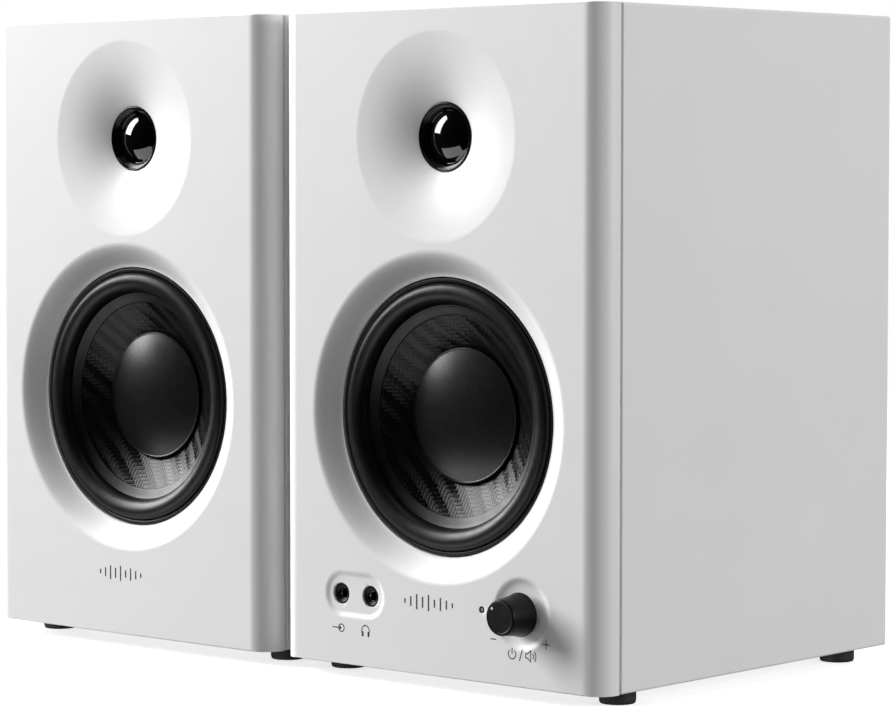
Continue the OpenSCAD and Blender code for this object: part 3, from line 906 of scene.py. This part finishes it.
def add_knob(s):
    """Tapered volume knob with a white dot on its face: a painted highlight at the upper left of its rim,
    which also turns with the knob as its pointer.
    """
    x, z = s.middle("volume_knob")
    face, base = s.depths("volume_knob")
    profile = [(0, face + 0.12), (4.9, face + 0.12), (5.15, face), (5.5, face), (5.85, face + 0.5),
               (6.2, face + 4.4), (6.75, face + 8.3), (7.15, base - 0.5), (7.2, base), (0, base)]
    s.add("volume_dial", lathe(softened(profile, 0.35), x, z, 96), "knob_plastic", "black_plastic",
          ["volume_knob"], "volume_turn_part")
    turn, off_axis = math.radians(140), 4.2
    # White dot: a painted highlight at the upper left of the knob's face, carried round with the knob as a
    # pointer.
    highlight_bead = [(0, face - 0.02), (0.4, face - 0.02), (0.48, face + 0.06), (0.48, face + 0.3), (0, face + 0.3)]
    dot = lathe(softened(highlight_bead, 0.06, 3), x + off_axis * math.cos(turn), z + off_axis * math.sin(turn), 32)
    s.add("dial_highlight_dot", dot, "white_ink", "white_plastic", body="volume_turn_part")


def add_jacks(s):
    """Front sockets: a barrel with a rounded mouth, and a contact inside it."""
    barrel = [(3.5, 15), (3.5, 1.3), (3.2, 1.05), (2.75, 1.05), (2.5, 1.35), (2.05, 1.45), (1.8, 1.8),
              (1.8, 16.6), (3.5, 16.6)]
    contact = [(1.78, 2.1), (1.5, 2.4), (1.5, 3.0), (1.78, 3.3)]
    for node, name in (("aux_jack", "line_socket"), ("headphone_jack", "phones_socket")):
        x, z = s.middle(node)
        s.add(name, turned_ring(barrel, 0.12, x, z, 64), "knob_plastic", "black_plastic", [node])
        s.add(name + "_contact", turned_ring(contact, 0.12, x, z, 32), "plated_metal")


def add_light(s):
    """Power light: a lens in a dark sleeve."""
    x, z = s.middle("power_led")
    sleeve = [(1.05, 0.05), (0.72, 0.05), (0.66, 0.2), (0.66, 6), (1.05, 6)]
    s.add("light_sleeve", turned_ring(sleeve, 0.06, x, z, 32), "knob_plastic", "black_plastic")
    lens = softened([(0, 0.1), (0.4, 0.13), (0.62, 0.25), (0.64, 6), (0, 6)], 0.1, 3)
    s.add("light_lens", lathe(lens, x, z, 32), "led_lens", nodes=["power_led"])


def add_mark(s, x, z):
    """Plain sound-level motif: upright strokes of stepped heights."""
    heights = [1.6, 3.2, 5.0, 3.6, 5.4, 2.6, 4.4, 3.0, 1.6]
    pitch, width = 2.6, 0.6
    bm = bmesh.new()
    for i, height in enumerate(heights):
        px = x + (i - (len(heights) - 1) / 2) * pitch
        ribbon(bm, [(px, z - height / 2), (px, z + height / 2)], width)
    s.add(s.name + "_mark", raised(bm, 0), "print_ink", "black_plastic")


def line_input_sign(bm, x, z):
    """An arrow that goes into a circle."""
    ribbon(bm, circle(x + 1.5, z, 1.25, 28), LINE, True)
    ribbon(bm, [(x - 2.6, z), (x + 1.3, z)], LINE)
    ribbon(bm, [(x + 0.4, z + 0.75), (x + 1.35, z), (x + 0.4, z - 0.75)], LINE)


def headphones_sign(bm, x, z):
    """A headband with two ear pads."""
    band = arc((x, z + 0.1), 1.65, 0, 180, 20)
    ribbon(bm, [(x + 1.65, z - 0.7)] + band + [(x - 1.65, z - 0.7)], LINE)
    for side in (-1, 1):
        patch(bm, rectangle(x + side * 1.35, z - 1.15, 0.85, 1.7, 0.2, 3))


def knob_signs(bm, x, z):
    """A minus and a plus at the ends of the knob's turn."""
    ribbon(bm, [(x - 13.1, z - 9.0), (x - 10.7, z - 9.0)], LINE)
    ribbon(bm, [(x + 8.8, z - 8.8), (x + 11.6, z - 8.8)], LINE)
    ribbon(bm, [(x + 10.2, z - 10.2), (x + 10.2, z - 7.4)], LINE)


def power_sign(bm, x, z):
    """An open circle with a stroke in its gap."""
    ribbon(bm, arc((x, z), 1.55, 128, 412, 24), LINE)
    ribbon(bm, [(x, z + 0.1), (x, z + 2.0)], LINE)


def loudspeaker_sign(bm, x, z):
    """A horn and two waves."""
    horn = [(x - 1.9, z - 0.7), (x - 1.1, z - 0.7), (x + 0.2, z - 1.8), (x + 0.2, z + 1.8),
            (x - 1.1, z + 0.7), (x - 1.9, z + 0.7)]
    ribbon(bm, horn, LINE, True)
    ribbon(bm, arc((x, z), 1.35, -40, 40, 8), LINE)
    ribbon(bm, arc((x, z), 2.35, -42, 42, 10), LINE)


def add_icons(s):
    """Generic symbols printed under the jacks and round the knob."""
    level = s.middle("power_led")[1]
    under, low = level - 11.5, level - 13.1
    knob_x = s.middle("volume_knob")[0]
    bm = bmesh.new()
    line_input_sign(bm, s.middle("aux_jack")[0] - 1.0, under)
    headphones_sign(bm, s.middle("headphone_jack")[0] - 1.7, under)
    knob_signs(bm, knob_x, level)
    power_sign(bm, knob_x - 4.0, low)
    ribbon(bm, [(knob_x - 0.9, low - 1.9), (knob_x + 0.3, low + 1.9)], LINE)
    loudspeaker_sign(bm, knob_x + 3.6, low)
    s.add("front_symbols", raised(bm, 0), "print_ink", "black_plastic")


# ---- rear


def add_port(s):
    """Reflex port with a flared mouth in its lip, smooth down to its inner end."""
    low, high = s.depths(s.name + "_port_tube")
    r, wall, lip_r = 19, 2.1, 26
    mouth = spline([(r, low + 4), (r, high - 8), (r + 0.5, high - 4.2), (r + 2, high - 1.5),
                    (r + 4.6, high - 0.15)], 5)
    lip = softened([(lip_r - 0.6, high - 0.02), (lip_r, high - 0.35), (lip_r, high - 1.2),
                    (r + wall, high - 1.2)], 0.25, 3)
    tail = [(r + wall, low), (r, low)]
    s.add(s.name + "_port", lathe(mouth + lip + tail, 0, s.port_z, 128, closed=True), "black_plastic",
          nodes=[s.name + "_port_tube"])


def plate(outline, holes, y0, y1):
    """A flat plate from y0 to y1, with softened rear edges and its holes."""
    soft = 0.4
    shell = Shell()
    front, back = shell.wall([(outline, y0), (outline, y1 - soft),
                              (shifted(outline, soft * 0.3), y1 - soft * 0.3), (shifted(outline, soft), y1)])
    ends = [shell.wall([(hole, y0), (hole, y1 - soft / 2), (shifted(hole, -soft / 2), y1)])
            for hole in holes]
    shell.fill(front, *[end[0] for end in ends])
    shell.fill(back, *[end[1] for end in ends])
    return shell.bm


def terminal_housing(s, node):
    """Spring terminal housing with a pocket for each lever and its wire hole."""
    x, z = s.middle(node)
    face = s.depths(node)[1]
    half_pitch, pocket_depth, wire_depth = 7.5, 9.5, 14
    lip = rectangle(x, z, 36, 27, 1.5, 5)
    centres = (x - half_pitch, x + half_pitch)
    holes = [(rectangle(c, z + 3.4, 12.8, 14, 0.6, 4), 0.25, 0.3, pocket_depth) for c in centres]
    holes += [(circle(c, z - 8, 1.5, 32), 0.6, 0.8, wire_depth) for c in centres]
    shell = Shell()
    front, back = shell.wall([(lip, face - 4), (lip, face - 0.6), (shifted(lip, 0.2), face - 0.2),
                              (shifted(lip, 0.7), face)])
    shell.fill(front)
    mouths = []
    for outline, flare, lead, depth in holes:
        mouth, end = shell.wall([(shifted(outline, -flare), face), (outline, face - lead),
                                 (outline, face - depth)])
        shell.fill(end)
        mouths.append(mouth)
    shell.fill(back, *mouths)
    return shell.bm


def add_lever(s, colour):
    """Press lever with a ribbed thumb pad, on a round root about its pin."""
    node = s.name + "_" + colour + "_lever"
    x = s.middle(node)[0]
    pin_y, pin_z = s.rear_edge - 2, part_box(node)[0].z / MM + 2.8
    width, thick, reach, ribs, rib_pitch = 12, 4.2, 10, 4, 1.6
    slope = math.radians(14)
    bm = rounded_block(0, 0, width, thick, 0, reach, 0.5)
    for i in range(ribs):
        start = 3.4 + i * rib_pitch
        merge(bm, rounded_block(0, 2.2, width - 2.4, 0.5, start, start + 0.7, 0.15, 2))
    for v in bm.verts:
        y, up = v.co.y, v.co.z
        v.co = Vector((x + v.co.x, pin_y + y * math.cos(slope) - up * math.sin(slope),
                       pin_z + y * math.sin(slope) + up * math.cos(slope)))
    root_r, half_root = 2.8, width / 2
    root_profile = [(0, -half_root), (root_r, -half_root), (root_r, half_root), (0, half_root)]
    root = lathe(softened(root_profile, 0.3, 3), 0, 0, 48)
    for v in root.verts:
        v.co = Vector((x + v.co.y, pin_y + v.co.x, pin_z + v.co.z))
    merge(bm, root)
    s.add(node + "_pad", bm, "lever_" + colour, nodes=[node], body=node + "_part")


def add_terminals(s):
    """Housing of the spring terminals, with both levers."""
    node = s.name + "_terminals"
    s.add(s.name + "_terminal_housing", terminal_housing(s, node), "black_plastic", nodes=[node], flat=True)
    for colour in ("red", "black"):
        add_lever(s, colour)


def add_active_rear(s):
    """Amplifier panel and all that is mounted in it."""
    x, z = s.middle("amp_plate")
    term_x, term_z = s.middle("active_terminals")
    inlet_x, inlet_z = s.middle("power_inlet")
    holes = [rectangle(term_x, term_z, 34, 24), rectangle(inlet_x, inlet_z, 17.8, 11.8, 0.5, 3)]
    panel = plate(rectangle(x, z, 90, 120, 3, 6), holes, *s.depths("amp_plate"))
    s.add("amp_panel", panel, "powder_coat", "black_steel", ["amp_plate"], flat=True)
    add_terminals(s)
    add_inlet(s)
    add_line_jacks(s)
    add_balanced_jacks(s)
    for node in ("treble_knob", "bass_knob"):
        add_tone_knob(s, node)


def add_inlet(s):
    """Figure-8 mains inlet with its two pins."""
    x, z = s.middle("power_inlet")
    face = s.depths("power_inlet")[1]
    inner_end, floor, pin_tip, pin_r, half_pitch = 140, 146, 156, 1.2, 4.3
    body = rectangle(x, z, 17.6, 11.6, 0.8, 4)
    opening = pill(x, z, 3.9, 4, 24)
    shell = Shell()
    front, back = shell.wall([(body, inner_end), (body, face - 0.3), (shifted(body, 0.3), face)])
    shell.fill(front)
    mouth, end = shell.wall([(shifted(opening, -0.3), face), (opening, face - 0.3), (opening, floor)])
    shell.fill(end)
    shell.fill(back, mouth)
    s.add("mains_socket", shell.bm, "black_plastic", nodes=["power_inlet"], flat=True)
    pin = [(0, floor - 0.1), (pin_r, floor - 0.1), (pin_r, pin_tip - 0.6), (pin_r - 0.5, pin_tip),
           (0, pin_tip)]
    pins = bmesh.new()
    for side in (-1, 1):
        merge(pins, lathe(softened(pin, 0.3, 3), x + side * half_pitch, z, 32))
    s.add("mains_pins", pins, "plated_metal")


def add_line_jacks(s):
    """Phono jacks: plated barrels, each with an insulator of its own colour."""
    z = s.middle("rca_jacks")[1]
    face, end = s.rear_edge, s.depths("rca_jacks")[1]
    flange_r, pitch = 6.2, 15
    left = (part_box("rca_jacks")[0].x - s.origin.x) / MM + flange_r
    barrel = [(flange_r, face), (flange_r, face + 1.2), (4.15, face + 1.2), (4.15, end), (3.5, end),
              (3.5, face + 1.4), (3.5, face)]
    core = [(3.45, face + 1), (3.45, end - 0.5), (1.7, end - 0.5), (1.7, face - 6), (3.45, face - 6)]
    places = {"white_plastic": left + pitch, "lever_red": left}
    barrels = bmesh.new()
    for x in places.values():
        merge(barrels, turned_ring(barrel, 0.25, x, z, 64))
    s.add("line_barrels", barrels, "plated_metal", nodes=["rca_jacks"])
    for paint, x in places.items():
        s.add("line_insert_" + paint.split("_")[-1], turned_ring(core, 0.2, x, z, 48), paint)


def add_balanced_jacks(s):
    """Large jacks: a hexagonal nut round a plated sleeve for each."""
    z = s.middle("balanced_jacks")[1]
    face = s.rear_edge
    half_nut, pitch = 8, 20
    left = (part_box("balanced_jacks")[0].x - s.origin.x) / MM + half_nut
    nut = [(7.6, face), (7.6, face + 1.9), (6, face + 2), (6, face + 3), (3.9, face + 3), (3.6, face + 2.6),
           (3.6, face)]
    sleeve = [(3.58, face + 2.4), (3.2, face + 2.2), (3.2, face - 20), (3.58, face - 20)]
    nuts, sleeves = bmesh.new(), bmesh.new()
    for x in (left, left + pitch):
        merge(nuts, turned_ring(nut, 0.3, x, z, 72, hex_nut))
        merge(sleeves, turned_ring(sleeve, 0.1, x, z, 48))
    s.add("balanced_nuts", nuts, "black_plastic", nodes=["balanced_jacks"])
    s.add("balanced_sleeves", sleeves, "plated_metal")


def hex_nut(radius, turn):
    """Radius round a nut: six flats on its widest part, round elsewhere."""
    if radius < 7:
        return radius
    side = math.pi / 3
    return min(radius, radius * 0.93 / math.cos((turn % side) - side / 2))


def add_tone_knob(s, node):
    """Fluted knob with a pointer line."""
    x, z = s.middle(node)
    base, end = s.rear_edge + 0.6, s.depths(node)[1]
    grip_r, flutes, flute_depth = 6, 24, 0.25

    def fluted(radius, turn):
        """Radius round the grip: only its outer wall is fluted."""
        cut = flute_depth * (0.5 + 0.5 * math.cos(flutes * turn))
        return radius - cut if radius > 5.7 else radius

    profile = [(0, base), (grip_r, base), (grip_r, end - 0.6), (5.4, end), (4.6, end), (4.4, end - 0.3),
               (0, end - 0.3)]
    grip = lathe(softened(profile, 0.25, 3), x, z, 144, radius_of=fluted)
    s.add(node + "_grip", grip, "knob_plastic", "black_plastic", [node], node + "_part")
    pointer = bmesh.new()
    ribbon(pointer, [(x, z + 2.2), (x, z + 4.2)], 0.6)
    s.add(node + "_pointer", raised(pointer, end - 0.28), "white_ink", "white_plastic",
          body=node + "_part")


def plus_and_minus(bm, x, z, apart, reach, width):
    """A plus apart from x towards -X, and a minus as far towards +X."""
    for centre in (x - apart, x + apart):
        ribbon(bm, [(centre - reach, z), (centre + reach, z)], width)
    ribbon(bm, [(x - apart, z - reach), (x - apart, z + reach)], width)


def add_rear_marks(s):
    """Dial ticks, signs and group lines printed on the amplifier's panel."""
    thin, thick, group_line, ticks = 0.3, 0.4, 0.35, 11
    phono_x, large_x = -20.5, 19
    bm = bmesh.new()
    for node in ("treble_knob", "bass_knob"):
        x, z = s.middle(node)
        for i in range(ticks):
            turn = math.radians(90 + (i - ticks // 2) * 30)
            ribbon(bm, [(x + r * math.cos(turn), z + r * math.sin(turn)) for r in (8, 9.6)], thin)
        plus_and_minus(bm, x, z - 10, 7, 1, thin)
    x, z = s.middle("active_terminals")
    plus_and_minus(bm, x, z - 16, 7.5, 1.5, thick)
    x, z = s.middle("power_inlet")
    ribbon(bm, rectangle(x, z, 26, 20, 2, 6), group_line, True)
    z = s.middle("rca_jacks")[1]
    ribbon(bm, rectangle(phono_x, z, 32, 17, 2, 6), group_line, True)
    ribbon(bm, rectangle(large_x, z, 39, 19, 2, 6), group_line, True)
    s.add("rear_print", raised(bm, s.rear_edge + 0.02), "white_ink", "white_plastic")


def add_passive_rear(s):
    """Cup with the passive speaker's terminals."""
    z = s.middle("passive_terminals")[1]
    hole = rectangle(0, z, 33.2, 23.2)
    cup = plate(rectangle(0, z, 64, 54, 3, 6), [hole], s.rear_edge - 2, s.rear_edge)
    s.add("passive_cup", cup, "black_plastic", flat=True)
    add_terminals(s)


# ---- scene


def scenery(name, bm, paint):
    """A piece of the stage, which lights nothing and shows in no reflection."""
    data = bpy.data.meshes.new(name)
    bm.to_mesh(data)
    bm.free()
    data.materials.append(paint)
    made = placed(name, data)
    made.visible_diffuse = False
    made.visible_glossy = False
    made.visible_shadow = False
    return made


def add_stage():
    """A round floor, and a backdrop all round it."""
    disc, sphere = bmesh.new(), bmesh.new()
    bmesh.ops.create_circle(disc, cap_ends=True, segments=96, radius=1.4)
    bmesh.ops.create_icosphere(sphere, subdivisions=4, radius=6)
    floor = scenery("floor", disc, floor_paint())
    backdrop = scenery("backdrop", sphere, backdrop_paint())


def paint_frame():
    """Gives each CAD node the finish of its slot, and the amplifier's panel its powder coat."""
    for part in frame["record"]["subparts"]:
        materials = frame["nodes"][part["node"]].data.materials
        paint = PAINT["powder_coat" if part["node"] == "amp_plate" else part["material_slot"]]
        for index in range(len(materials)):
            materials[index] = paint
        if not materials:
            materials.append(paint)


add_camera()
add_stage()
paint_frame()
active = Speaker("active")
passive = Speaker("passive")
add_lights([add_cabinet(speaker) for speaker in (active, passive)])
for speaker in (active, passive):
    add_feet(speaker)
    add_woofer(speaker)
    add_tweeter(speaker)
    add_port(speaker)
add_baffle(active, active_bores(active))
add_baffle(passive, lambda shell: [])
add_knob(active)
add_jacks(active)
add_light(active)
add_icons(active)
add_mark(active, -2.6, 28.9)
add_mark(passive, -2.5, 26.7)
add_active_rear(active)
add_rear_marks(active)
add_passive_rear(passive)

scene.view_settings.view_transform = "Standard"
